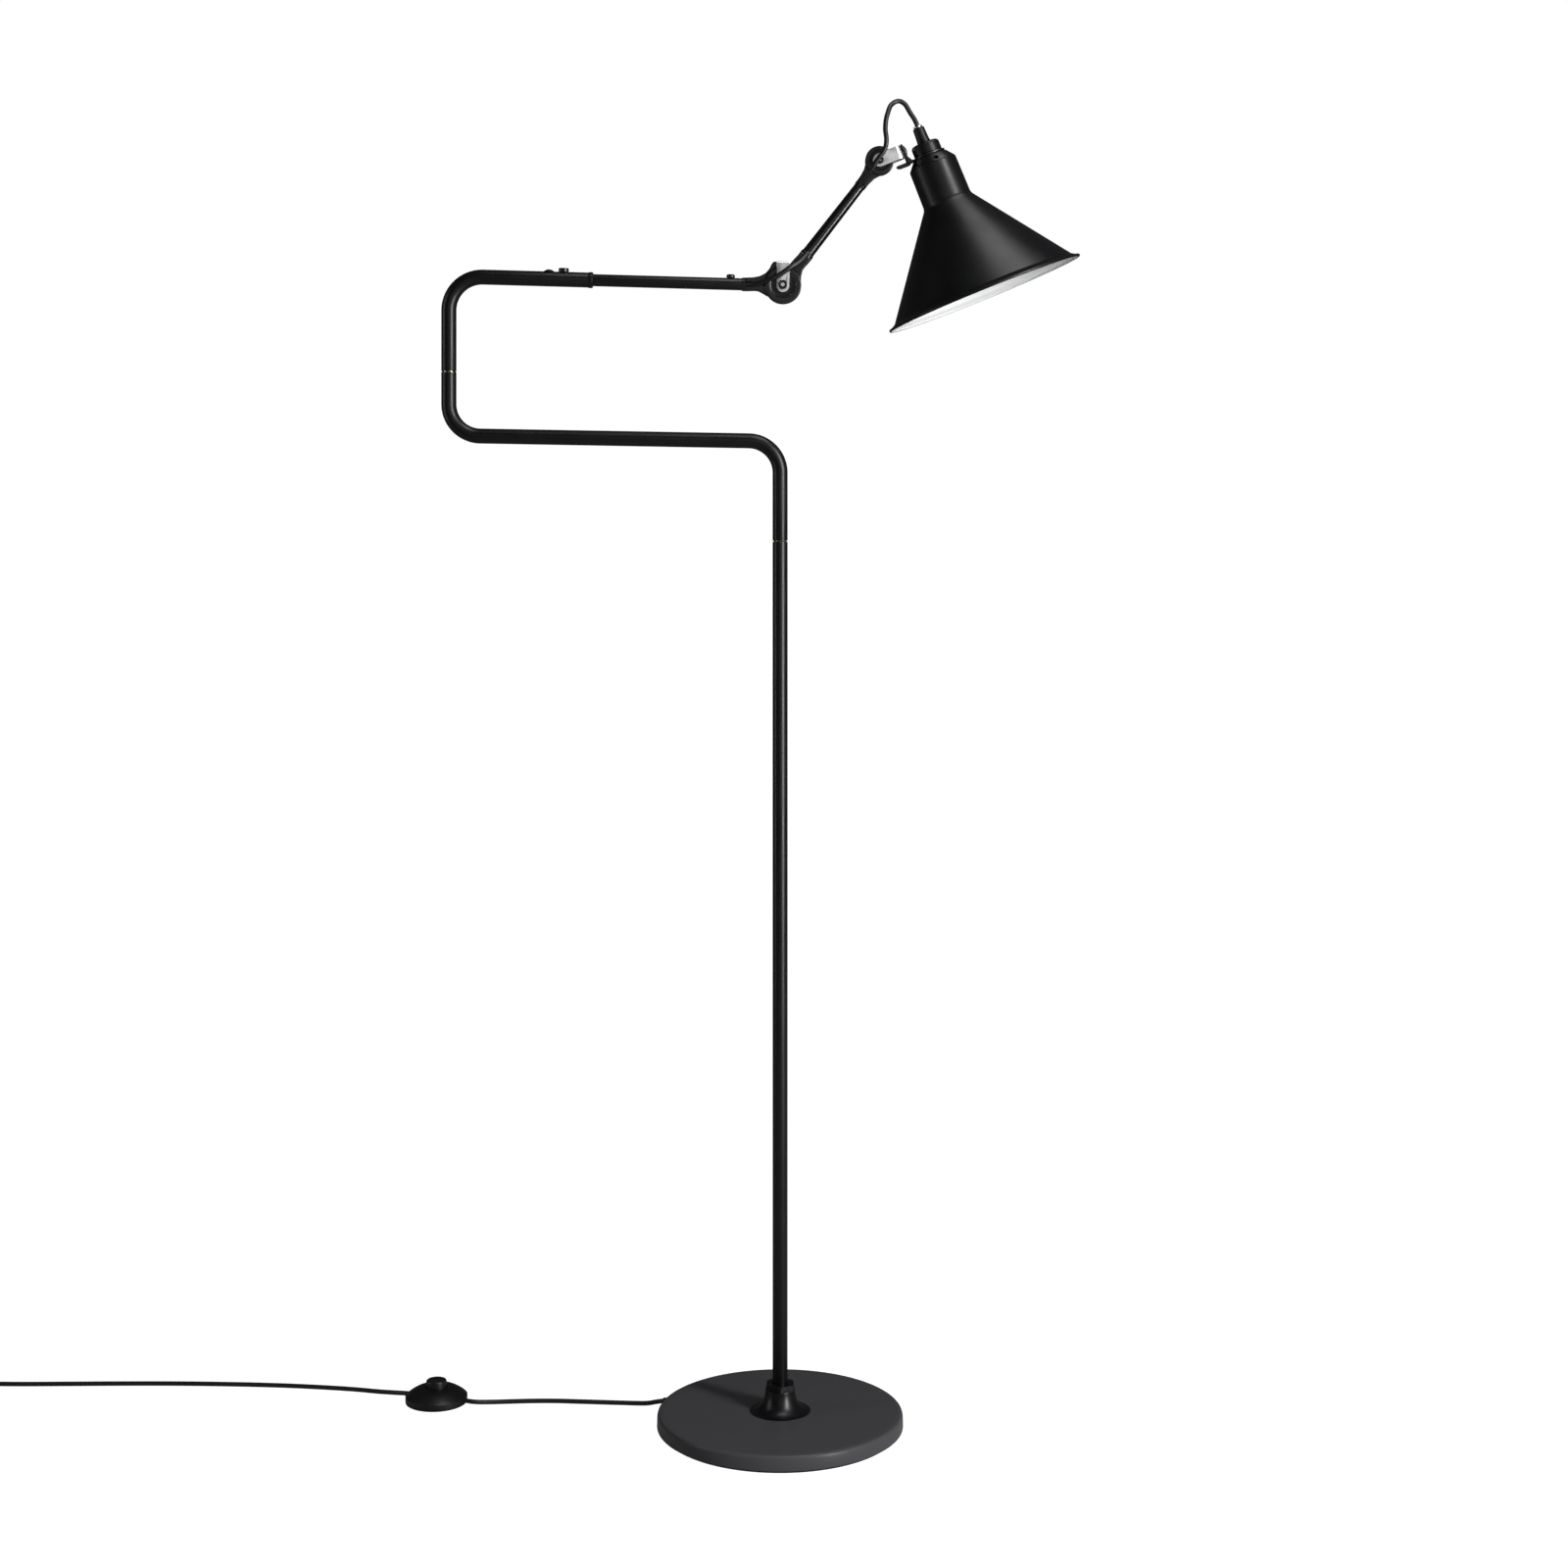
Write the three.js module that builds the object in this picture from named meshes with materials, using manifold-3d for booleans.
// An adjustable arm floor lamp: a heavy round base and pole, two bent tube arms that swivel about
// upright axes, a short arm on a friction knuckle, and a conical shade on a second knuckle.
// Millimetres, +Z up, +X the way the arms reach, -Y the front. The origin is the middle of the base,
// on the floor.
import * as THREE from 'three';
import { mergeVertices } from 'three/addons/utils/BufferGeometryUtils.js';
import Module from 'manifold-3d';

const wasm = await Module();
wasm.setup();

// ---- driving dimensions -------------------------------------------------------------------------

const gap = 0.3; // left between pieces that seat on each other
const runningGap = 0.25; // radial play of a tube or pin in its bore
const swivelPlay = 0.0285; // radial play of a spigot inside the flats of a tube's faceted bore
const slidePlay = 0.0785; // radial play of the fore arm inside those flats

const base = { radius: 125.5, topRadius: 124, height: 18, edgeRadius: 3.5, padRadius: 121, padThickness: 2.5 };
const basePocket = { radius: 22, depth: 12, channelWidth: 8 };
const hub = { flareRadius: 30, neckRadius: 15, neckHeight: 40, collarRadius: 16, height: 46, socketDepth: 24 };
const nipple = { radius: 5, bore: 3.4 };
const baseNut = { radius: 9, thickness: 4 };
const baseWasher = { radius: 13, thickness: 1.5 };

const tube = { radius: 7.7, wall: 1.2, sides: 16, boreSides: 12 }; // pole and both bent arms
const pole = { top: 904 };
const spigot = { height: 60, bore: 4 };
const seamWasher = { thickness: 0.8 };

const lowerArm = { riser: 102.6, reach: 338, rise: 6, bendRadius: 32.5, elbowRiser: 70.4 };
const upperArm = { riser: 98.2, droopDegrees: 1.6, bendRadius: 34, sleeveLength: 147, collarLength: 4.5 };
const foreArm = { wall: 1, pivotReach: 341, insertion: 60, screwAt: 287.5 };
const sleeveScrew = { fromEnd: 30, radius: 5.2, height: 3.8 };
const sleeveStud = { fromEnd: 45, radius: 5.5, height: 2.3 };

const knuckle = {
  eyeRadius: 18.7, halfWidth: 9, recessRadius: 13.5, recessDepth: 1.4, neckHalfWidth: 6.6,
  strapWidth: 12.8, strapThickness: 1.6, strapStandOff: 5.1, strapTail: 7.5, pinRadius: 3, castingLength: 42,
};
const midArm = { length: 160.7, riseDegrees: 52.2, lowerRadius: 6.2, upperRadius: 5.45, wall: 1 };
const headKnuckle = {
  eyeRadius: 14.6, halfWidth: 7.5, recessRadius: 10.5, recessDepth: 1.2, neckHalfWidth: 5.6,
  strapWidth: 13.4, strapThickness: 1.6, strapStandOff: 10.4, strapTail: 7, pinRadius: 2.6, castingLength: 33.6,
};
const head = { tiltDegrees: 21.8, shadeAxis: 49.2 };
const bracket = {
  thickness: 2.4, width: 14, tabHeight: 7, plateDepth: 12, plateThickness: 2, ringRadius: 17,
  toeReach: 35.7, toeWidth: 11, toeDepth: 15.5,
};
const rivet = { radius: 3.2, headRadius: 5.5, headHeight: 2 };
const cap = { radius: 14.75, wall: 2, edgeRadius: 3.5 };
const gland = { radius: 6.9, topRadius: 6, height: 16.5 };
const bush = { radius: 4.6, height: 2 };
const shade = {
  topRadius: 19.4, neckRadius: 25, neckEndRadius: 25.5, shoulderHeight: 11.9, neckHeight: 37.7,
  coneRadius: 96.2, coneHeight: 97.4, lipRadius: 102.6, lipDrop: 4, wall: 1.2, rimBead: 1.5,
  ventRadius: 2.3, vents: 6, firstVentDegrees: 40,
};
const lampholder = { threadRadius: 10, radius: 13.8, length: 40, wall: 1.3, ringRadius: 17, ringThickness: 3 };
const bulb = { capLength: 24, neckRadius: 13, radius: 30, length: 80, wall: 1 };

const flex = { radius: 2.5, clearance: 0.4 };
const cord = { radius: 2.4, exitDegrees: 155, lie: 2.7 };
const cordGland = { radius: 4.6, length: 14, tipRadius: 3.4, tipLength: 9 };
const footSwitch = {
  x: -361, y: 75, turnDegrees: 161, radius: 32.4, baseThickness: 2, rimHeight: 7, domeRadius: 12.4, domeHeight: 16.5,
  wall: 1.8, buttonRadius: 11, buttonTop: 23.5, portHeight: 5.1,
};
const switchBlock = { length: 25, width: 20, height: 6 };
const coil = { x: -885, y: 150, radius: 27, halfWidth: 7, low: 1.6, height: 14 };
const tie = { width: 9, thickness: 1, slack: 1 };
const plug = { length: 38, width: 27, thickness: 15, reliefLength: 22, pinRadius: 2, pinLength: 19, pinSpacing: 18.6 };

// ---- helpers ------------------------------------------------------------------------------------

const lamp = new THREE.Group();
const radians = THREE.MathUtils.degToRad;
const vec = (x, y, z) => new THREE.Vector3(x, y, z);

const material = (color, roughness, metalness) =>
  new THREE.MeshStandardMaterial({ color, roughness, metalness });
const satinBlack = material(0x16171a, 0.45, 0.1);
const castBlack = material(0x1b1c1f, 0.55, 0.2);
const steel = material(0xb9babd, 0.3, 0.9);
const brass = material(0xb08d4a, 0.35, 0.9);
const nylon = material(0x232323, 0.6, 0);
const cordBlack = material(0x101012, 0.6, 0);
const shadeBlack = material(0x1a1b1d, 0.4, 0.1);
const bulbGlass = material(0xf4f1e6, 0.3, 0);

/** Joins a geometry's loose corners, so that it is one surface with its faces pointing out. */
function closed(geometry) {
  const bare = geometry.clone();
  bare.deleteAttribute('normal');
  bare.deleteAttribute('uv');
  const merged = mergeVertices(bare, 1e-3);
  const index = merged.index.array;
  const place = merged.attributes.position;
  const [a, b, c] = [vec(), vec(), vec()];
  let volume = 0;
  for (let i = 0; i < index.length; i += 3) {
    a.fromBufferAttribute(place, index[i]);
    b.fromBufferAttribute(place, index[i + 1]);
    c.fromBufferAttribute(place, index[i + 2]);
    volume += a.dot(b.cross(c));
  }
  if (volume < 0) index.reverse();
  return merged;
}

function solidOf(geometry) {
  const { attributes, index } = closed(geometry);
  return new wasm.Manifold(new wasm.Mesh({
    numProp: 3,
    vertProperties: new Float32Array(attributes.position.array),
    triVerts: new Uint32Array(index.array),
  }));
}

function geometryOf(solid) {
  const { vertProperties, triVerts } = solid.getMesh();
  return new THREE.BufferGeometry()
    .setAttribute('position', new THREE.BufferAttribute(vertProperties, 3))
    .setIndex(new THREE.BufferAttribute(triVerts, 1));
}

const cut = (geometry, ...tools) =>
  geometryOf(tools.reduce((solid, tool) => solid.subtract(solidOf(tool)), solidOf(geometry)));
const join = (...pieces) => geometryOf(pieces.map(solidOf).reduce((a, b) => a.add(b)));

/** Turns an outline of [radius, height] points about Z. An outline off the axis is closed on itself. */
function turned(outline, sides = 24) {
  const points = outline.map(([r, z]) => new THREE.Vector2(r, z));
  const onAxis = points[0].x === 0 && points.at(-1).x === 0;
  if (!onAxis) points.push(points[0].clone());
  return new THREE.LatheGeometry(points, sides).rotateX(Math.PI / 2);
}

const rod = (radius, low, high, sides = 16) =>
  turned([[0, low], [radius, low], [radius, high], [0, high]], sides);
const ring = (inner, outer, low, high, sides = 16) =>
  turned([[inner, low], [outer, low], [outer, high], [inner, high]], sides);
const block = (x, y, z) => new THREE.BoxGeometry(x, y, z);
const hexagon = (cornerRadius, low, high) => rod(cornerRadius, low, high, 6);

/** Points of an arc of an outline, from one angle to another in degrees. */
function arc(cx, cz, radius, from, to, steps) {
  return Array.from({ length: steps + 1 }, (_, i) => {
    const angle = radians(from + ((to - from) * i) / steps);
    return [cx + radius * Math.cos(angle), cz + radius * Math.sin(angle)];
  });
}

/** A slab across Y from an outline in X and Z, between two values of Y. */
function slab(outline, front, back) {
  const shape = new THREE.Shape(outline.map(([x, z]) => new THREE.Vector2(x, z)));
  return new THREE.ExtrudeGeometry(shape, { depth: back - front, bevelEnabled: false })
    .rotateX(Math.PI / 2)
    .translate(0, back, 0);
}

/** A path through given stations, each with the direction of travel there. */
class Route extends THREE.Curve {
  constructor(points, directions) {
    super();
    this.points = points;
    this.directions = directions;
  }

  at(list, u) {
    const place = u * (list.length - 1);
    const i = Math.min(Math.floor(place), list.length - 2);
    return list[i].clone().lerp(list[i + 1], place - i);
  }

  getPoint(u) { return this.at(this.points, u); }
  getPointAt(u) { return this.at(this.points, u); }
  getTangentAt(u) { return this.at(this.directions, u).normalize(); }
  getTangent(u) { return this.getTangentAt(u); }
  getSpacedPoints(count) { return Array.from({ length: count + 1 }, (_, i) => this.getPoint(i / count)); }
}

/** A route along straight lines whose corners are rounded by arcs. */
function bentRoute(corners, radii, steps = 6) {
  const points = [corners[0]];
  const directions = [corners[1].clone().sub(corners[0]).normalize()];
  for (let i = 1; i < corners.length - 1; i++) {
    const into = corners[i].clone().sub(corners[i - 1]).normalize();
    const out = corners[i + 1].clone().sub(corners[i]).normalize();
    const turn = into.angleTo(out);
    const radius = radii[i - 1];
    const start = corners[i].clone().addScaledVector(into, -radius * Math.tan(turn / 2));
    const inward = out.clone().addScaledVector(into, -out.dot(into)).normalize();
    const middle = start.clone().addScaledVector(inward, radius);
    for (let k = 0; k <= steps; k++) {
      const angle = (turn * k) / steps;
      points.push(middle.clone()
        .addScaledVector(inward, -radius * Math.cos(angle))
        .addScaledVector(into, radius * Math.sin(angle)));
      directions.push(into.clone()
        .multiplyScalar(Math.cos(angle))
        .addScaledVector(inward, Math.sin(angle)));
    }
  }
  points.push(corners.at(-1));
  directions.push(corners.at(-1).clone().sub(corners.at(-2)).normalize());
  return new Route(points, directions);
}

/** A smooth route through points chosen by hand, in even steps. */
function smoothRoute(points, steps) {
  const curve = new THREE.CatmullRomCurve3(points, false, 'centripetal');
  const spaced = curve.getSpacedPoints(steps);
  return new Route(spaced, spaced.map((_, i) => curve.getTangentAt(i / steps)));
}

/** A round rod, or with an inner radius a tube, along a route. */
function along(route, radius, inner = 0, sides = tube.sides) {
  const circle = (r, n) => Array.from({ length: n }, (_, i) =>
    new THREE.Vector2(r * Math.cos((2 * Math.PI * i) / n), r * Math.sin((2 * Math.PI * i) / n)));
  const shape = new THREE.Shape(circle(radius, sides));
  if (inner) shape.holes.push(new THREE.Path(circle(inner, tube.boreSides)));
  const steps = route.points.length - 1;
  return new THREE.ExtrudeGeometry(shape, { steps, extrudePath: route, bevelEnabled: false });
}

function add(parent, name, geometry, look) {
  const mesh = new THREE.Mesh(closed(geometry), look);
  mesh.name = name;
  parent.add(mesh);
  return mesh;
}

/** A group at a place, turned about Y so that its X axis points some degrees above the row's X axis. */
function frameAt(parent, place, degrees) {
  const group = new THREE.Group();
  group.position.copy(place);
  group.rotation.y = -radians(degrees);
  parent.add(group);
  group.updateMatrixWorld(true);
  return group;
}

/** A geometry written in a group's frame, put in the row's frame. */
const inRow = (group, geometry) => geometry.clone().applyMatrix4(group.matrixWorld);
const rowPoint = (group, x, y, z) => vec(x, y, z).applyMatrix4(group.matrixWorld);

// ---- base and pole ------------------------------------------------------------------------------

const plateBottom = base.padThickness + gap;
const pocketTop = plateBottom + basePocket.depth;
const poleBottom = hub.height - hub.socketDepth;
const tubeBore = tube.radius - tube.wall;
const boreFlats = tubeBore * Math.cos(Math.PI / tube.boreSides);
const swivelRadius = boreFlats - swivelPlay;
const foreArmRadius = boreFlats - slidePlay;

const plateOutline = [
  [0, plateBottom], [base.radius - 1, plateBottom], [base.radius, plateBottom + 1],
  ...arc(base.topRadius - base.edgeRadius, base.height - base.edgeRadius, base.edgeRadius, 0, 90, 3),
  [0, base.height],
];
const exitAngle = radians(cord.exitDegrees);
const channel = (width, from, to, low, high) => block(to - from, width, high - low)
  .translate((from + to) / 2, 0, (low + high) / 2)
  .rotateZ(exitAngle);
const basePlate = cut(
  turned(plateOutline, 48),
  rod(basePocket.radius, 0, pocketTop),
  rod(nipple.radius + runningGap, 0, base.height + 1),
  channel(basePocket.channelWidth, 0, base.radius - cordGland.length, 0, pocketTop),
  rod(cordGland.radius + runningGap, base.radius - cordGland.length - 1, base.radius + 5, 16)
    .rotateY(Math.PI / 2).translate(0, 0, plateBottom + cordGland.radius).rotateZ(exitAngle),
);
add(lamp, 'base_pad', rod(base.padRadius, 0, base.padThickness, 48), nylon);
add(lamp, 'base_plate', basePlate, satinBlack);

const hubOutline = [
  [0, base.height + gap], [hub.flareRadius, base.height + gap], [hub.flareRadius, base.height + 1.5],
  ...Array.from({ length: 5 }, (_, i) => {
    const t = (i + 1) / 5;
    return [
      hub.neckRadius + (hub.flareRadius - hub.neckRadius) * (1 - t) ** 2.2,
      base.height + 1.5 + (hub.neckHeight - base.height - 1.5) * t,
    ];
  }),
  [0, hub.neckHeight],
];
const baseHub = cut(
  join(turned(hubOutline, 24), hexagon(hub.collarRadius, hub.neckHeight - 1, hub.height)),
  rod(tube.radius + runningGap, poleBottom - gap, hub.height + 1, 20),
  rod(nipple.radius + runningGap, 0, hub.height),
);
add(lamp, 'base_hub', baseHub, castBlack);

// The flex comes in at the rim, runs in the channel and rises through the nipple and the pole.
const channelHeight = plateBottom + cordGland.radius;
const radial = (r, z) => vec(r * Math.cos(exitAngle), r * Math.sin(exitAngle), z);
const lineEnd = base.radius - cordGland.length - 4;
const poleFlexRoute = bentRoute([
  radial(lineEnd, channelHeight),
  vec(0, 0, plateBottom + flex.radius + gap),
  vec(0, 0, pole.top + spigot.height / 2 - 12),
], [2 * flex.radius], 6);
add(lamp, 'pole_flex', along(poleFlexRoute, flex.radius, 0, 8), cordBlack);

const washerLow = pocketTop - gap - baseWasher.thickness;
const nutLow = washerLow - gap - baseNut.thickness;
const plugTop = poleBottom + 16;
add(lamp, 'base_nipple', cut(ring(nipple.bore, nipple.radius, nutLow - 0.5, plugTop + 2),
  along(poleFlexRoute, flex.radius + flex.clearance, 0, 10)), steel);
add(lamp, 'pole_plug', ring(nipple.radius + runningGap, tubeBore - runningGap, poleBottom, plugTop), steel);
add(lamp, 'base_washer', ring(nipple.radius + runningGap, baseWasher.radius, washerLow, pocketTop - gap), steel);
add(lamp, 'base_nut', cut(hexagon(baseNut.radius, nutLow, nutLow + baseNut.thickness),
  rod(nipple.radius + runningGap, 0, 99)), brass);

add(lamp, 'pole_tube', ring(tubeBore, tube.radius, poleBottom, pole.top, 20), satinBlack);

/** The spigot that one tube turns on: it is held in the tube below and stands up into the tube above. */
const swivelSpigot = (seam) =>
  ring(spigot.bore, swivelRadius, seam - spigot.height / 2, seam + spigot.height / 2);
const swivelWasher = (seam) =>
  ring(swivelRadius + runningGap, tube.radius - 0.4, seam + gap, seam + gap + seamWasher.thickness);
const aboveSeam = (seam) => seam + seamWasher.thickness + 2 * gap;

add(lamp, 'pole_spigot', swivelSpigot(pole.top), brass);
add(lamp, 'pole_washer', swivelWasher(pole.top), nylon);

// ---- lower arm ----------------------------------------------------------------------------------

const lowerArmHeight = pole.top + lowerArm.riser;
const elbow = vec(-lowerArm.reach, 0, lowerArmHeight + lowerArm.elbowRiser);
const lowerRoute = bentRoute([
  vec(0, 0, aboveSeam(pole.top)),
  vec(0, 0, lowerArmHeight),
  vec(-lowerArm.reach, 0, lowerArmHeight + lowerArm.rise),
  elbow.clone(),
], [lowerArm.bendRadius, lowerArm.bendRadius]);
add(lamp, 'lower_arm_tube', along(lowerRoute, tube.radius, tubeBore), satinBlack);
add(lamp, 'elbow_spigot', swivelSpigot(elbow.z).translate(elbow.x, 0, 0), brass);
add(lamp, 'elbow_washer', swivelWasher(elbow.z).translate(elbow.x, 0, 0), nylon);

/** A route that keeps to another one's middle, cut back at both ends. */
function insideRoute(corners, startTrim, endTrim) {
  const ends = corners.map((c) => c.clone());
  ends[0].addScaledVector(corners[1].clone().sub(corners[0]).normalize(), startTrim);
  const last = corners.length - 1;
  ends[last].addScaledVector(corners[last - 1].clone().sub(corners[last]).normalize(), endTrim);
  return ends;
}
const flexStart = spigot.height / 2 - 11;
add(lamp, 'lower_arm_flex', along(bentRoute(insideRoute([
  vec(0, 0, pole.top), vec(0, 0, lowerArmHeight),
  vec(-lowerArm.reach, 0, lowerArmHeight + lowerArm.rise), elbow.clone(),
], flexStart, -flexStart), [lowerArm.bendRadius, lowerArm.bendRadius], 6), flex.radius, 0, 8), cordBlack);

// ---- upper arm ----------------------------------------------------------------------------------

const upperCorner = vec(-lowerArm.reach, 0, elbow.z + upperArm.riser);
const upper = frameAt(lamp, upperCorner, -upperArm.droopDegrees);
const onUpper = (s) => rowPoint(upper, s, 0, 0);
const sleeveEnd = upperArm.sleeveLength;
const sleeve = along(bentRoute([
  vec(elbow.x, 0, aboveSeam(elbow.z)), upperCorner.clone(), onUpper(sleeveEnd - upperArm.collarLength),
], [upperArm.bendRadius]), tube.radius, tubeBore);
const lieAlongX = (geometry) => geometry.rotateY(Math.PI / 2);
const collarStart = sleeveEnd - upperArm.collarLength;
const collar = lieAlongX(ring(tubeBore, tube.radius + 0.5, collarStart - 0.5, sleeveEnd, 16));
const screwAt = sleeveEnd - sleeveScrew.fromEnd;
const studAt = sleeveEnd - sleeveStud.fromEnd;
const screwHole = (at, radius) => rod(radius + runningGap, 3, 30, 16).translate(at, 0, 0);
const sleevePin = { radius: 2 };
const foreArmPin = { radius: 1.6 };
const headSeat = tube.radius + gap;
add(lamp, 'upper_arm_tube', cut(join(sleeve, inRow(upper, collar)),
  inRow(upper, screwHole(screwAt, sleevePin.radius)),
  inRow(upper, screwHole(studAt, sleevePin.radius))), satinBlack);

/** A low round head on top of the sleeve, with its shank through the wall. */
function topFastener(outline, shankBottom) {
  return join(turned(outline, 20), rod(sleevePin.radius, shankBottom, headSeat + 1, 16));
}
const shankBottom = foreArmRadius - foreArm.wall - 0.5;
add(upper, 'sleeve_screw', topFastener([
  [0, headSeat], [sleeveScrew.radius, headSeat], [sleeveScrew.radius, headSeat + 1],
  [sleeveScrew.radius - 0.8, headSeat + sleeveScrew.height - 1],
  [sleeveScrew.radius - 1.8, headSeat + sleeveScrew.height],
  [0, headSeat + sleeveScrew.height],
], shankBottom), satinBlack).position.x = screwAt;
add(upper, 'sleeve_stud', topFastener([
  [0, headSeat], [sleeveStud.radius, headSeat],
  [sleeveStud.radius - 1.2, headSeat + sleeveStud.height * 0.7],
  [0, headSeat + sleeveStud.height],
], shankBottom), satinBlack).position.x = studAt;

// ---- knuckles -----------------------------------------------------------------------------------

const socketDepth = 9; // how far each tube is held in its casting

/** A casting in its own frame: the eye about the origin, the neck and tube socket along +X.
 *  front and back bound the eye in Y. cutters are taken away in the same frame. */
function eyeCasting(k, front, back, neckTop, neckBottom, tubeRadius, faceSide, cutters) {
  const length = k.castingLength;
  const eye = rod(k.eyeRadius, front, back, 28).rotateX(Math.PI / 2).rotateX(Math.PI);
  const neckOutline = [...neckTop, ...[...neckBottom].reverse()];
  const neck = slab(neckOutline, -k.neckHalfWidth, k.neckHalfWidth);
  const barrel = lieAlongX(turned([
    [0, k.eyeRadius + 3], [k.neckHalfWidth - 0.6, k.eyeRadius + 3], [k.neckHalfWidth + 0.4, length - 6],
    [k.neckHalfWidth + 0.4, length - 1], [k.neckHalfWidth, length], [0, length],
  ], 18));
  const otherEye = arc(0, 0, k.eyeRadius + 0.7, 0, 360, 32).slice(0, -1);
  const relief = faceSide ? [slab(otherEye, ...(faceSide < 0 ? [-gap, 30] : [-30, gap]))] : [];
  const neckOnly = relief.length ? cut(join(neck, barrel), ...relief) : join(neck, barrel);
  const socket = lieAlongX(rod(tubeRadius + runningGap, length - socketDepth, length + 5, 18));
  const recess = (y, sign) => turned([
    [0, 0], [k.recessRadius, 0], [k.recessRadius - 1.4, -k.recessDepth], [0, -k.recessDepth],
  ], 20).rotateX(sign < 0 ? Math.PI / 2 : -Math.PI / 2).translate(0, y, 0);
  const recesses = [];
  if (faceSide <= 0) recesses.push(recess(front - 0.01, -1));
  if (faceSide >= 0) recesses.push(recess(back + 0.01, 1));
  const bore = rod(k.pinRadius + runningGap, -30, 30, 14).rotateX(Math.PI / 2);
  return cut(join(eye, neckOnly), socket, bore, ...recesses, ...cutters);
}

/** How far the outer face of a strap's web stands from the pin. */
const strapReach = (k) => k.eyeRadius + k.strapStandOff;

/** A bent steel strap round an eye: its web stands off along +X and its two legs reach back to the pin. */
function strap(k, webHole) {
  const out = strapReach(k);
  const w = k.strapWidth / 2;
  const legFace = k.halfWidth + gap;
  const legOutline = [[out, -w], [out, w], ...arc(w - k.strapTail, 0, w, 90, 270, 10)];
  const leg = (front) => slab(legOutline, front, front + k.strapThickness);
  const bore = rod(k.pinRadius + runningGap, -30, 30, 14).rotateX(Math.PI / 2);
  const web = block(k.strapThickness, 2 * (legFace + k.strapThickness), 2 * w)
    .translate(out - k.strapThickness / 2, 0, 0);
  const holes = webHole ? [lieAlongX(rod(webHole, out - 9, out + 9, 20))] : [];
  return cut(join(leg(-legFace - k.strapThickness), leg(legFace), web), bore, ...holes);
}

const screwHeadHeight = 2.6;
const nutHeight = 3.4;
const screwFace = (k) => k.halfWidth + k.strapThickness + 2 * gap;

/** The socket screw through a knuckle, from the front, and its nut behind. */
function knuckleScrew(k) {
  const face = screwFace(k);
  const headRadius = k.pinRadius + 1.6;
  const screw = join(
    rod(k.pinRadius, -face - 0.5, face + 5, 14),
    rod(headRadius, -face - screwHeadHeight, -face, 20),
  );
  return cut(screw, hexagon(1.7, -face - 3, -face - 1.2)).rotateX(-Math.PI / 2);
}
function knuckleNut(k) {
  const face = screwFace(k);
  const bore = rod(k.pinRadius + runningGap, 0, 40, 14);
  return cut(hexagon(k.pinRadius + 2.4, face, face + nutHeight), bore).rotateX(-Math.PI / 2);
}

const pivotOne = onUpper(foreArm.pivotReach);
const armOne = frameAt(lamp, pivotOne, 180 - upperArm.droopDegrees); // +X runs back along the upper arm
const armTwo = frameAt(lamp, pivotOne, midArm.riseDegrees); // +X runs up the middle arm
const pivotTwo = rowPoint(armTwo, midArm.length, 0, 0);
const armTwoBack = frameAt(lamp, pivotTwo, midArm.riseDegrees + 180); // +X runs down the middle arm
const yoke = frameAt(lamp, pivotTwo, head.tiltDegrees); // +X runs out along the head's strap

// Where the flex runs over the knuckles: out of one casting, in front of the strap and into the next.
const frontOne = -(knuckle.halfWidth + knuckle.strapThickness + gap + flex.radius + 1.2);
const knuckleFlexRoute = smoothRoute([
  rowPoint(armOne, knuckle.castingLength + 4, 0, 0),
  rowPoint(armOne, knuckle.castingLength - 1, -1.5, 0),
  rowPoint(armOne, knuckle.castingLength - 6, -4.8, 0),
  rowPoint(armOne, knuckle.castingLength - 12, -8.4, 0),
  rowPoint(armOne, knuckle.eyeRadius + 4, -knuckle.halfWidth - 2.2, -1.5),
  vec(pivotOne.x - 11, frontOne, pivotOne.z + 6),
  vec(pivotOne.x - 2, frontOne - 0.5, pivotOne.z + 10.5),
  vec(pivotOne.x + 8, frontOne, pivotOne.z + 17.5),
  rowPoint(armTwo, knuckle.castingLength - 14, -knuckle.halfWidth - 1.8, 1.2),
  rowPoint(armTwo, knuckle.castingLength - 7, -7.8, 0.3),
  rowPoint(armTwo, knuckle.castingLength, -4, 0),
  rowPoint(armTwo, knuckle.castingLength + 6, -1, 0),
  rowPoint(armTwo, knuckle.castingLength + 11, 0, 0),
], 24);
const frontTwo = -(screwFace(headKnuckle) + screwHeadHeight + gap + flex.radius + 0.3);
const headFlexRoute = smoothRoute([
  rowPoint(armTwoBack, headKnuckle.castingLength + 11, 0, 0),
  rowPoint(armTwoBack, headKnuckle.castingLength + 6, -0.8, 0),
  rowPoint(armTwoBack, headKnuckle.castingLength, -3.8, 0),
  rowPoint(armTwoBack, headKnuckle.castingLength - 7, -7.8, 0),
  rowPoint(armTwoBack, headKnuckle.eyeRadius, frontTwo + 2.5, 0),
  vec(pivotTwo.x - 2, frontTwo, pivotTwo.z),
  vec(pivotTwo.x + 4.5, frontTwo - 0.5, pivotTwo.z + 9),
  vec(pivotTwo.x + 6.5, frontTwo, pivotTwo.z + 18),
  vec(pivotTwo.x + 5.5, frontTwo + 2, pivotTwo.z + 32),
  vec(pivotTwo.x + 8, frontTwo + 5, pivotTwo.z + 47),
  vec(pivotTwo.x + 14.5, -3, pivotTwo.z + 59),
  vec(pivotTwo.x + 22, -1, pivotTwo.z + 60.5),
  rowPoint(yoke, head.shadeAxis - 1.5, 0, gland.height + 16),
  rowPoint(yoke, head.shadeAxis, 0, gland.height + 7),
  rowPoint(yoke, head.shadeAxis, 0, gland.height),
  rowPoint(yoke, head.shadeAxis, 0, 0),
], 34);
const intoFrame = (group, geometry) => geometry.clone().applyMatrix4(group.matrixWorld.clone().invert());
const flexWay = (group, route) => intoFrame(group, along(route, flex.radius + flex.clearance, 0, 8));

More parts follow.
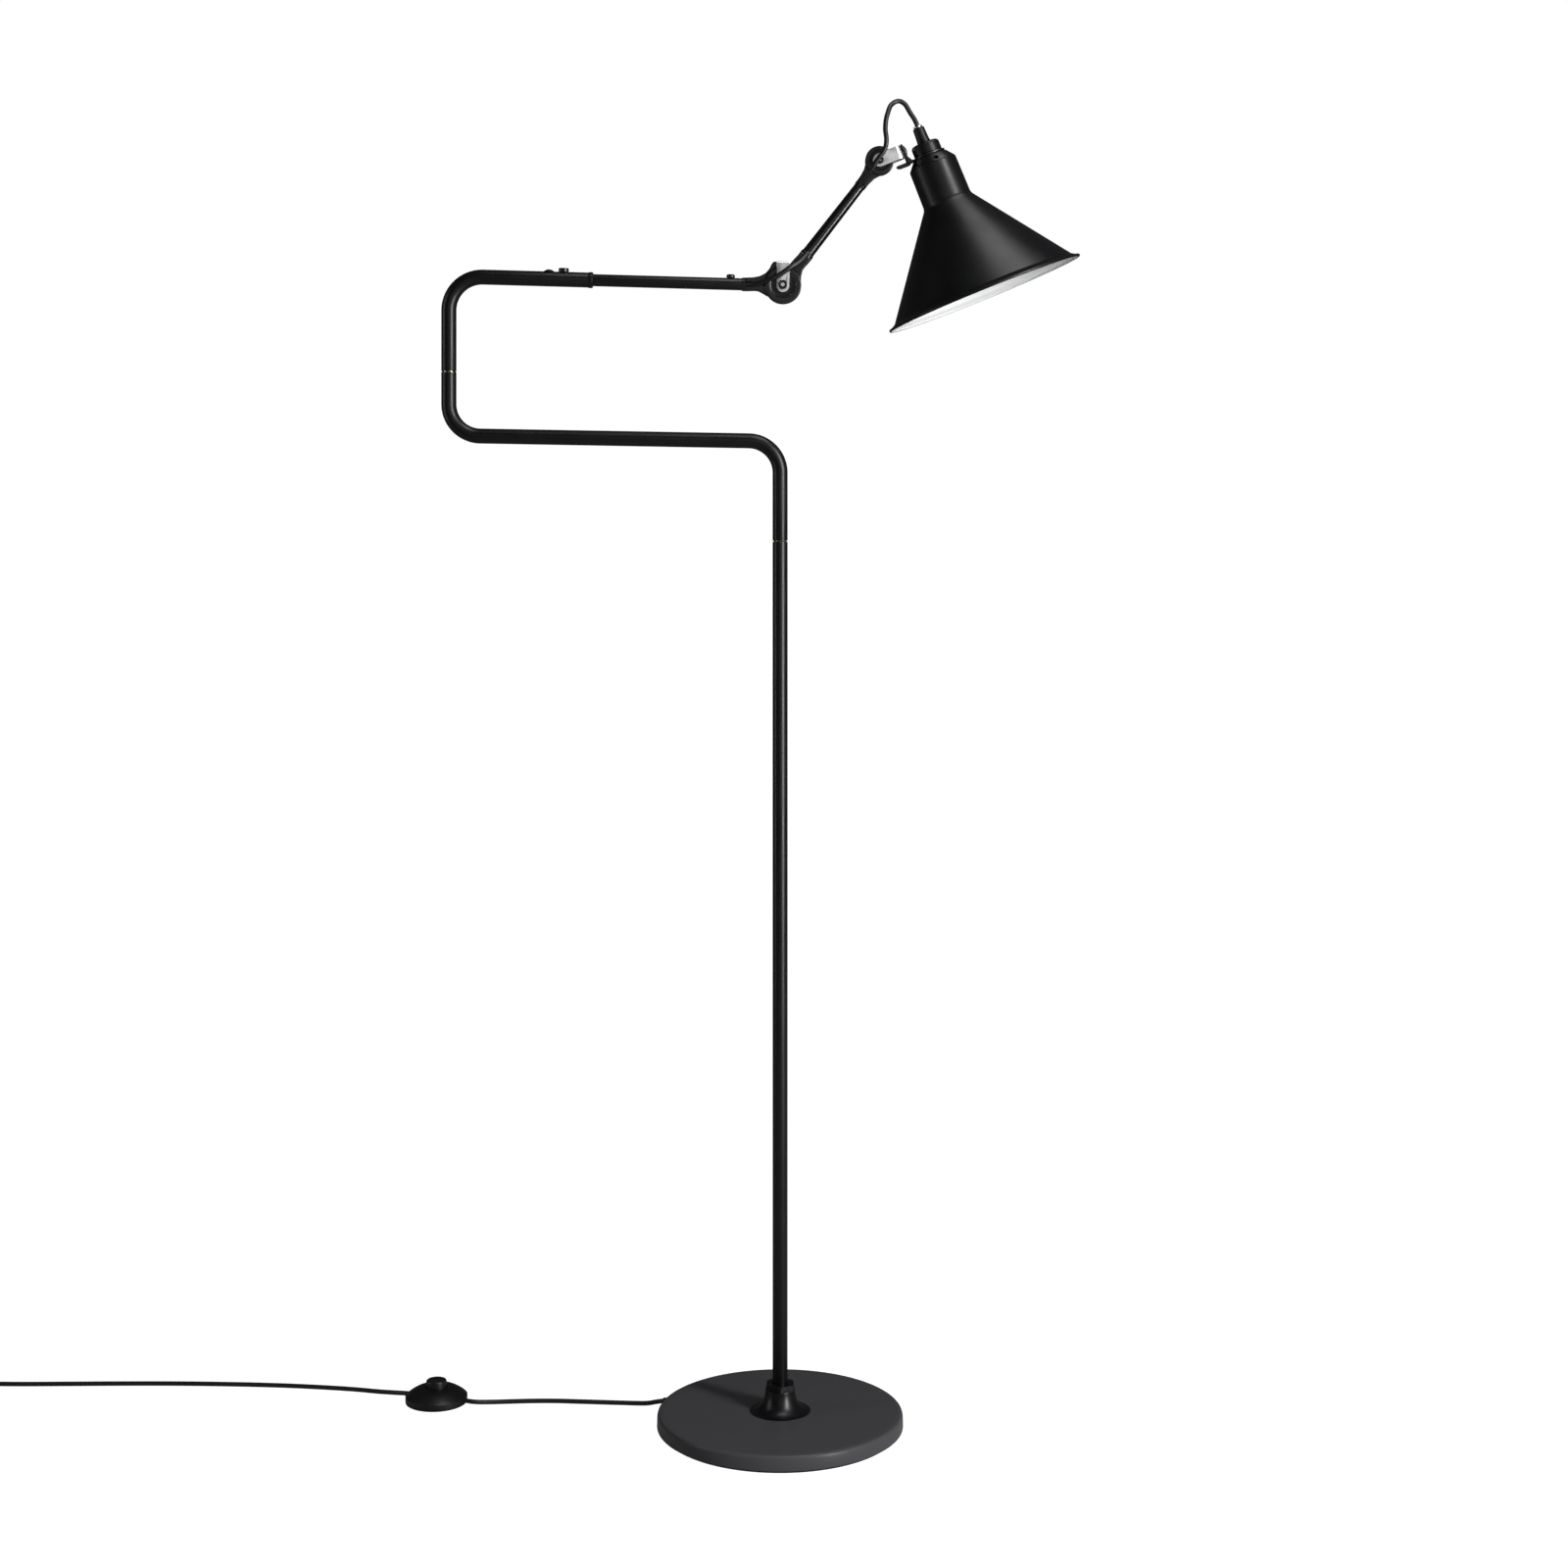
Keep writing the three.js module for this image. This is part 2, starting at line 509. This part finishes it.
// Each neck's outline runs from the eye to the tube: the side towards +Z, then the side towards -Z.
// The arm's corner rests on the strap's edge, which stops it from rising further.
const strapEdge = knuckle.strapWidth / 2 + gap;
const rise = radians(midArm.riseDegrees + upperArm.droopDegrees);
const stop = { x: strapEdge + 0.2, z: strapReach(knuckle) - 1.6 };
const stopCorner = [
  stop.x * Math.cos(rise) + stop.z * Math.sin(rise),
  -stop.x * Math.sin(rise) + stop.z * Math.cos(rise),
];
const r1 = knuckle.eyeRadius;
const neckEnd = knuckle.castingLength - 4;
const foreCasting = eyeCasting(knuckle, -knuckle.halfWidth, -2 * gap,
  [[r1 * 0.33, r1 * 0.94], [r1 * 0.72, r1 * 0.68], [r1 + 1.5, 8.8], [r1 + 6.5, 6.3], [neckEnd, 5.6]],
  [[strapEdge, -r1 * 0.9], [strapEdge, -strapReach(knuckle)], [strapEdge + 3.5, -strapReach(knuckle) + 0.3],
    [strapEdge + 5.6, -r1 - 2], [strapEdge + 7.6, -r1 + 2.6], [r1 - 0.7, -11.7], [r1 + 5, -8.5], [r1 + 12, -7],
    [neckEnd, -6.6]],
  foreArmRadius, -1, [
    flexWay(armOne, knuckleFlexRoute),
  ]);
add(armOne, 'fore_arm_casting', foreCasting, castBlack);
const lowerEye = eyeCasting(knuckle, 2 * gap, knuckle.halfWidth,
  [[r1 * 0.33, r1 * 0.94], [stopCorner[0] - 5, stopCorner[1] + 2.4], stopCorner, [stopCorner[0] + 6.5, 7.2],
    [neckEnd, 6.2]],
  [[r1 * 0.33, -r1 * 0.94], [r1 * 0.74, -r1 * 0.66], [r1 + 1.3, -8.5], [r1 + 6.3, -6.3], [neckEnd, -6]],
  midArm.lowerRadius, 1, [flexWay(armTwo, knuckleFlexRoute)]);
add(armTwo, 'lower_eye_casting', lowerEye, castBlack);
add(armOne, 'knuckle_washer', ring(knuckle.pinRadius + runningGap, knuckle.eyeRadius - 2, -gap, gap, 32)
  .rotateX(Math.PI / 2), nylon);

const strapOne = frameAt(lamp, pivotOne, 90 - upperArm.droopDegrees);
add(strapOne, 'knuckle_strap', strap(knuckle, 0), steel);
add(strapOne, 'knuckle_screw', knuckleScrew(knuckle), steel);
add(strapOne, 'knuckle_nut', knuckleNut(knuckle), steel);

const screwSeat = foreArmRadius + gap;
const screwHead = { radius: 4.4, topRadius: 2, height: 3.4 };
add(upper, 'fore_arm_screw', join(
  turned([
    [0, screwSeat], [screwHead.radius, screwSeat], [screwHead.radius - 0.8, screwSeat + screwHead.height - 0.8],
    [screwHead.topRadius, screwSeat + screwHead.height], [0, screwSeat + screwHead.height],
  ], 20),
  rod(foreArmPin.radius, foreArmRadius - foreArm.wall - 0.5, screwSeat + 1, 12),
), satinBlack).position.x = foreArm.screwAt;

const r2 = headKnuckle.eyeRadius;
const upperEye = eyeCasting(headKnuckle, -headKnuckle.halfWidth, headKnuckle.halfWidth,
  [[r2 * 0.27, r2 * 0.95], [r2 * 0.75, r2 * 0.66], [r2 + 2.4, 7], [r2 + 9.4, 5.9], [r2 + 15.4, 5.6]],
  [[r2 * 0.27, -r2 * 0.95], [r2 * 0.75, -r2 * 0.66], [r2 + 2.4, -7], [r2 + 9.4, -5.9], [r2 + 15.4, -5.6]],
  midArm.upperRadius, 0, [flexWay(armTwoBack, headFlexRoute)]);
add(armTwoBack, 'upper_eye_casting', upperEye, castBlack);

const midStart = knuckle.castingLength - socketDepth + 1;
const midEnd = midArm.length - headKnuckle.castingLength + socketDepth - 1;
add(armTwo, 'mid_arm_tube', cut(lieAlongX(turned([
  [midArm.lowerRadius - midArm.wall, midStart], [midArm.lowerRadius, midStart],
  [midArm.lowerRadius, knuckle.castingLength + 2],
  [midArm.upperRadius, midArm.length - headKnuckle.castingLength - 2], [midArm.upperRadius, midEnd],
  [midArm.upperRadius - midArm.wall, midEnd],
], 18)), flexWay(armTwo, knuckleFlexRoute), flexWay(armTwo, headFlexRoute)), satinBlack);
add(upper, 'fore_arm_tube', cut(
  lieAlongX(ring(foreArmRadius - foreArm.wall, foreArmRadius, sleeveEnd - foreArm.insertion,
    foreArm.pivotReach - knuckle.castingLength + socketDepth - 1, 18)),
  screwHole(screwAt, sleevePin.radius), screwHole(studAt, sleevePin.radius),
  screwHole(foreArm.screwAt, foreArmPin.radius), flexWay(upper, knuckleFlexRoute),
), satinBlack);

// ---- the flex inside the arms and over the knuckles -----------------------------------------------

const flexJoint = 0.8; // between the end of one stretch of flex and the next
add(lamp, 'upper_arm_flex', along(bentRoute([
  elbow.clone().add(vec(0, 0, flexStart + 1)), upperCorner.clone(),
  onUpper(foreArm.pivotReach - knuckle.castingLength - 4 - flexJoint),
], [upperArm.bendRadius], 6), flex.radius, 0, 8), cordBlack);
add(armTwo, 'mid_arm_flex', lieAlongX(rod(flex.radius, knuckle.castingLength + 11 + flexJoint,
  midArm.length - headKnuckle.castingLength - 11 - flexJoint, 8)), cordBlack);
add(lamp, 'knuckle_flex', along(knuckleFlexRoute, flex.radius, 0, 8), cordBlack);
add(lamp, 'head_flex', along(headFlexRoute, flex.radius, 0, 8), cordBlack);

// ---- head: everything below is in the yoke's frame, with the shade's axis along -Z -----------------

add(yoke, 'yoke_strap', strap(headKnuckle, rivet.radius + runningGap), steel);
add(yoke, 'yoke_screw', knuckleScrew(headKnuckle), steel);
add(yoke, 'yoke_nut', knuckleNut(headKnuckle), steel);

const onShadeAxis = (geometry) => geometry.translate(head.shadeAxis, 0, 0);
const tabFace = strapReach(headKnuckle) + gap;
const tabOutside = tabFace + bracket.thickness;
const plateLow = -bracket.plateDepth - bracket.plateThickness;
const tab = block(bracket.thickness, bracket.width, bracket.tabHeight + bracket.plateDepth + 1)
  .translate(tabFace + bracket.thickness / 2, 0, (bracket.tabHeight - bracket.plateDepth - 1) / 2);
const arm = block(head.shadeAxis - tabFace, bracket.width, bracket.plateThickness)
  .translate((head.shadeAxis + tabFace) / 2, 0, plateLow + bracket.plateThickness / 2);
const toeStart = head.shadeAxis - bracket.toeReach;
const toe = slab([
  [toeStart, -bracket.plateDepth - 0.4], [toeStart + 1.1, plateLow - 0.4], [toeStart + 4, -bracket.toeDepth],
  [tabOutside, -bracket.toeDepth], [tabOutside + 1.5, plateLow], [tabOutside + 1.5, -bracket.plateDepth - 0.4],
], -bracket.toeWidth / 2, bracket.toeWidth / 2);
const fillet = slab([
  [tabOutside - 0.5, -bracket.plateDepth - 0.5], [tabOutside + 3, -bracket.plateDepth - 0.5],
  [tabOutside + 1, -bracket.plateDepth + 3], [tabOutside - 0.5, -bracket.plateDepth + 9],
], -bracket.width / 2 + 3, bracket.width / 2 - 3);
const ringPlate = onShadeAxis(rod(bracket.ringRadius, plateLow, -bracket.plateDepth, 28));
const threadHole = (low, high) => onShadeAxis(rod(lampholder.threadRadius + runningGap, low, high, 20));
add(yoke, 'head_bracket', cut(join(tab, arm, toe, ringPlate, fillet),
  threadHole(-60, 0),
  onShadeAxis(rod(cap.radius + gap, -bracket.plateDepth, 20, 24)),
  lieAlongX(rod(rivet.radius + runningGap, tabFace - 3, tabOutside + 3, 20))), castBlack);

const rivetStart = strapReach(headKnuckle) - headKnuckle.strapThickness - gap - rivet.headHeight;
add(yoke, 'swivel_rivet', lieAlongX(turned([
  [0, rivetStart], [rivet.headRadius - 1, rivetStart], [rivet.headRadius, rivetStart + rivet.headHeight],
  [rivet.radius, rivetStart + rivet.headHeight], [rivet.radius, tabOutside + gap],
  [rivet.headRadius, tabOutside + gap], [rivet.headRadius - 1.2, tabOutside + gap + rivet.headHeight],
  [0, tabOutside + gap + rivet.headHeight],
], 24)), steel);

const capLow = -bracket.plateDepth + gap;
const capOutline = [
  [flex.radius + 1, 0], ...arc(cap.radius - cap.edgeRadius, -cap.edgeRadius, cap.edgeRadius, 90, 0, 3),
  [cap.radius, capLow], [cap.radius - cap.wall, capLow],
  [cap.radius - cap.wall, -cap.wall - 1.5], [cap.radius - cap.wall - 1.5, -cap.wall],
  [flex.radius + 1, -cap.wall],
];
add(yoke, 'lampholder_cap', onShadeAxis(turned(capOutline, 24)), castBlack);
add(yoke, 'cap_gland', onShadeAxis(turned([
  [flex.radius + 1, gap], [gland.radius, gap], [gland.radius, 2], [gland.topRadius, gland.height - 1],
  [gland.topRadius - 1, gland.height], [flex.radius + 1, gland.height],
], 20)), castBlack);
add(yoke, 'gland_bush', onShadeAxis(turned([
  [flex.radius + runningGap, gland.height + gap], [bush.radius, gland.height + gap],
  [bush.radius - 1, gland.height + gap + bush.height],
  [flex.radius + runningGap, gland.height + gap + bush.height],
], 24)), steel);

const shadeTop = plateLow - gap;
const shadeOutside = [
  [shade.topRadius, shadeTop],
  [shade.neckRadius - 1, shadeTop - shade.shoulderHeight + 1.2],
  [shade.neckRadius, shadeTop - shade.shoulderHeight - 1],
  [shade.neckEndRadius, shadeTop - shade.shoulderHeight - shade.neckHeight],
  [shade.coneRadius, shadeTop - shade.shoulderHeight - shade.neckHeight - shade.coneHeight],
];
const [, , , neckFoot, coneFoot] = shadeOutside;
const slantedWall = shade.wall * Math.hypot(shade.coneHeight, coneFoot[0] - neckFoot[0]) / shade.coneHeight;
const lipEnd = [shade.lipRadius, coneFoot[1] - shade.lipDrop];
const shadeShell = turned([
  [lampholder.threadRadius + runningGap, shadeTop], ...shadeOutside, lipEnd,
  ...arc(lipEnd[0], lipEnd[1] - shade.rimBead, shade.rimBead, 60, -140, 3),
  [coneFoot[0] - slantedWall + 1, coneFoot[1] - shade.wall],
  [neckFoot[0] - shade.wall, neckFoot[1] - 0.5],
  [shade.neckRadius - shade.wall, shadeTop - shade.shoulderHeight - 1.5],
  [shade.topRadius - shade.wall, shadeTop - shade.wall],
  [lampholder.threadRadius + runningGap, shadeTop - shade.wall],
], 40);
const ventMiddle = (shade.topRadius + shade.neckRadius - 1) / 2;
const vents = Array.from({ length: shade.vents }, (_, i) =>
  rod(shade.ventRadius, -6, 6, 8)
    .rotateY(radians(60))
    .translate(ventMiddle, 0, shadeTop - shade.shoulderHeight / 2)
    .rotateZ(radians(shade.firstVentDegrees + (360 * i) / shade.vents)));
add(yoke, 'shade', onShadeAxis(cut(shadeShell, ...vents)), shadeBlack);

const holderRingTop = shadeTop - shade.wall - gap;
const holderTop = holderRingTop - lampholder.ringThickness - gap;
const holderLow = holderTop - lampholder.length;
const threadTop = -cap.wall - 1.5;
const holderBore = lampholder.radius - lampholder.wall;
add(yoke, 'lampholder_ring', onShadeAxis(ring(lampholder.threadRadius + runningGap, lampholder.ringRadius,
  holderRingTop - lampholder.ringThickness, holderRingTop, 24)), nylon);
add(yoke, 'lampholder_body', onShadeAxis(turned([
  [0, threadTop], [lampholder.threadRadius, threadTop], [lampholder.threadRadius, holderTop],
  [lampholder.radius, holderTop], [lampholder.radius, holderLow], [holderBore, holderLow],
  [holderBore, holderLow + bulb.capLength + 1], [0, holderLow + bulb.capLength + 1],
], 24)), nylon);
const bulbCapRadius = holderBore - runningGap;
add(yoke, 'bulb_cap', onShadeAxis(turned([
  [0, holderLow - 1], [bulbCapRadius, holderLow - 1], [bulbCapRadius, holderLow + bulb.capLength - 5],
  [4, holderLow + bulb.capLength], [0, holderLow + bulb.capLength],
], 24)), steel);
const glassTop = holderLow - 1 - gap;
const glassMiddle = glassTop - bulb.length + bulb.radius;
const glassSide = (inset) => [
  [bulb.neckRadius - inset, glassTop], [bulb.neckRadius + 1 - inset, glassTop - 8],
  ...arc(0, glassMiddle, bulb.radius - inset, 35, -90, 6).slice(0, -1), [0, glassMiddle - bulb.radius + inset],
];
const glassOutline = [...glassSide(0).reverse(), ...glassSide(bulb.wall)];
add(yoke, 'bulb_glass', onShadeAxis(turned(glassOutline, 20)), bulbGlass);

// ---- cord, foot switch and plug -------------------------------------------------------------------

const glandTip = base.radius + cordGland.tipLength;
add(lamp, 'cord_gland', lieAlongX(turned([
  [cord.radius + 0.6, base.radius - cordGland.length], [cordGland.radius, base.radius - cordGland.length],
  [cordGland.radius, base.radius], [cordGland.tipRadius, glandTip], [cord.radius + 0.6, glandTip],
], 20)).translate(0, 0, channelHeight).rotateZ(exitAngle), nylon);

const switchFrame = new THREE.Group();
switchFrame.position.set(footSwitch.x, footSwitch.y, 0);
switchFrame.rotation.z = radians(footSwitch.turnDegrees);
lamp.add(switchFrame);
switchFrame.updateMatrixWorld(true);
const innerEnd = switchBlock.length / 2 + 1.5;
const switchPoint = (x, z) => rowPoint(switchFrame, x, 0, z);

const cordToSwitch = smoothRoute([
  radial(lineEnd + 5, channelHeight), radial(glandTip, channelHeight - 0.2),
  radial(glandTip + 8, channelHeight - 2.2), vec(-138, 62.2, 3.1),
  vec(-149.5, 63.2, cord.lie), vec(-161.9, 64.1, cord.lie), vec(-186.7, 66.1, cord.lie),
  vec(-211.5, 68.2, cord.lie), vec(-236.3, 70, cord.lie), vec(-260.9, 69.8, cord.lie),
  vec(-285.4, 68.1, cord.lie), vec(-304, 65.6, cord.lie + 0.3), vec(-320, 62.6, 4.3),
  switchPoint(-footSwitch.radius, footSwitch.portHeight),
  switchPoint(-innerEnd, footSwitch.portHeight),
], 28);
add(lamp, 'cord_to_switch', along(cordToSwitch, cord.radius, 0, 8), cordBlack);

const coilEntryY = coil.y - coil.radius;
const coilOuter = coil.radius + coil.halfWidth;
const coilReach = Math.sqrt(coilOuter ** 2 - (coil.radius - cord.radius) ** 2);
const cordToPlug = smoothRoute([
  switchPoint(innerEnd, footSwitch.portHeight), switchPoint(footSwitch.radius + 2, footSwitch.portHeight - 0.3),
  vec(-408, 92.5, 3.4), vec(-424, 97.5, cord.lie), vec(-450, 104, cord.lie), vec(-490, 112, cord.lie),
  vec(-535, 119, cord.lie), vec(-585, 124.5, cord.lie), vec(-640, 128, cord.lie), vec(-700, 129, cord.lie),
  vec(-760, 127, cord.lie), vec(-820, 124, cord.lie), vec(coil.x + coilReach + 8, coilEntryY, cord.lie),
  vec(coil.x + coilReach + 1, coilEntryY, cord.lie),
], 34);
add(lamp, 'cord_to_plug', along(cordToPlug, cord.radius, 0, 8), cordBlack);
add(lamp, 'cord_coil', ring(coil.radius - coil.halfWidth, coilOuter, coil.low, coil.low + coil.height, 28)
  .translate(coil.x, coil.y, 0), cordBlack);
const tieHeight = coil.height + 2 * gap;
const tieInside = 2 * (coil.halfWidth + tie.slack);
const tieOutside = block(tieInside + 2 * tie.thickness, tie.width, tieHeight + 2 * tie.thickness);
add(lamp, 'cord_tie', cut(tieOutside, block(tieInside, tie.width + 2, tieHeight))
  .translate(coil.radius, 0, coil.low + coil.height / 2)
  .rotateZ(radians(60))
  .translate(coil.x, coil.y, 0), nylon);

const plugRear = coil.x - coilReach - 16;
const plugHeight = plug.thickness / 2 + 0.2;
const plugPlace = (geometry) => geometry.translate(plugRear, coilEntryY, plugHeight);
add(lamp, 'cord_tail', along(smoothRoute([
  vec(coil.x - coilReach - 1, coilEntryY, coil.low + coil.height - cord.radius - 1),
  vec(coil.x - coilReach - 8, coilEntryY, coil.low + coil.height - cord.radius - 2.2),
  vec(plugRear + 4, coilEntryY, plugHeight + 0.3),
  vec(plugRear + 1, coilEntryY, plugHeight),
], 6), cord.radius, 0, 8), cordBlack);
const reliefEnd = plug.reliefLength;
const relief = lieAlongX(turned([
  [0, 0], [cord.radius + 1, 0], [plug.thickness / 2 - 1, reliefEnd + 2], [0, reliefEnd + 2],
], 20));
const w2 = plug.width / 2;
const plugEnd = reliefEnd + plug.length;
const plugOutline = [
  [reliefEnd, -w2 * 0.6], [reliefEnd + 10, -w2], [plugEnd - 3, -w2], [plugEnd, -w2 + 3],
  [plugEnd, w2 - 3], [plugEnd - 3, w2], [reliefEnd + 10, w2], [reliefEnd, w2 * 0.6],
].map(([x, y]) => new THREE.Vector2(x, y));
const plugBody = new THREE.ExtrudeGeometry(new THREE.Shape(plugOutline), {
  depth: plug.thickness - 2, bevelSize: 1, bevelThickness: 1, bevelOffset: -1, bevelSegments: 1,
}).translate(0, 0, -plug.thickness / 2 + 1);
const pinHole = (y) =>
  lieAlongX(rod(plug.pinRadius + runningGap, plugEnd - 6, plugEnd + 3, 16)).translate(0, y, 0);
const pinSides = [-plug.pinSpacing / 2, plug.pinSpacing / 2];
const plugSolid = cut(join(relief, plugBody), ...pinSides.map(pinHole));
add(lamp, 'plug_body', plugPlace(plugSolid.rotateZ(Math.PI)), nylon);
pinSides.forEach((y, i) => {
  const pin = lieAlongX(rod(plug.pinRadius, plugEnd - 5, plugEnd + plug.pinLength, 16));
  add(lamp, `plug_pin_${i + 1}`, plugPlace(pin.translate(0, y, 0).rotateZ(Math.PI)), brass);
});

// The foot switch, in a frame whose +X points along the cord to the plug.
const coverLow = footSwitch.baseThickness + gap;
add(switchFrame, 'foot_switch_base', turned([
  [0, 0], [footSwitch.radius - 1, 0], [footSwitch.radius, 1], [footSwitch.radius, footSwitch.baseThickness],
  [0, footSwitch.baseThickness],
], 36), nylon);
const domeSide = (radius, rimTop, top, inner) => Array.from({ length: 5 }, (_, i) => {
  const t = i / 4;
  const r = radius + (inner - radius) * t;
  return [r, rimTop + (top - rimTop) * Math.sin((t * Math.PI) / 2) ** 0.9];
});
const buttonHole = footSwitch.buttonRadius + 0.4;
const portCut = lieAlongX(rod(cord.radius + 0.6, -60, 60, 10)).translate(0, 0, footSwitch.portHeight);
add(switchFrame, 'foot_switch_cover', cut(turned([
  [footSwitch.radius - footSwitch.wall, coverLow], [footSwitch.radius, coverLow],
  ...domeSide(footSwitch.radius, footSwitch.rimHeight, footSwitch.domeHeight, footSwitch.domeRadius),
  [buttonHole, footSwitch.domeHeight], [buttonHole, footSwitch.domeHeight - footSwitch.wall],
  ...domeSide(footSwitch.radius - footSwitch.wall, footSwitch.rimHeight - footSwitch.wall,
    footSwitch.domeHeight - footSwitch.wall, footSwitch.domeRadius + 0.5).reverse(),
], 32), portCut), nylon);
const blockTop = coverLow + switchBlock.height;
add(switchFrame, 'foot_switch_mechanism', block(switchBlock.length, switchBlock.width, switchBlock.height)
  .translate(0, 0, coverLow + switchBlock.height / 2), nylon);
const flangeTop = footSwitch.domeHeight - footSwitch.wall - gap;
const flangeLow = flangeTop - 1.2;
add(switchFrame, 'foot_switch_button', turned([
  [0, flangeLow], [footSwitch.buttonRadius + 1.4, flangeLow], [footSwitch.buttonRadius + 1.4, flangeTop],
  [footSwitch.buttonRadius, flangeTop], [footSwitch.buttonRadius, footSwitch.domeHeight],
  [footSwitch.buttonRadius - 0.8, footSwitch.buttonTop - 1],
  [footSwitch.buttonRadius - 2, footSwitch.buttonTop],
  [0, footSwitch.buttonTop],
], 24), nylon);
const spring = { radius: 5, wire: 0.45, turns: 3 };
const springSteps = 8 * spring.turns;
const springPoint = (i) => vec(
  spring.radius * Math.cos((2 * Math.PI * i) / 8),
  spring.radius * Math.sin((2 * Math.PI * i) / 8),
  blockTop + gap + spring.wire + ((flangeLow - blockTop - 2 * gap - 2 * spring.wire) * i) / springSteps,
);
const springPoints = Array.from({ length: springSteps + 1 }, (_, i) => springPoint(i));
const springWay = springPoints.map((_, i) => springPoint(i + 0.5).sub(springPoint(i - 0.5)).normalize());
add(switchFrame, 'foot_switch_spring', along(new Route(springPoints, springWay), spring.wire, 0, 6), steel);

export default lamp;
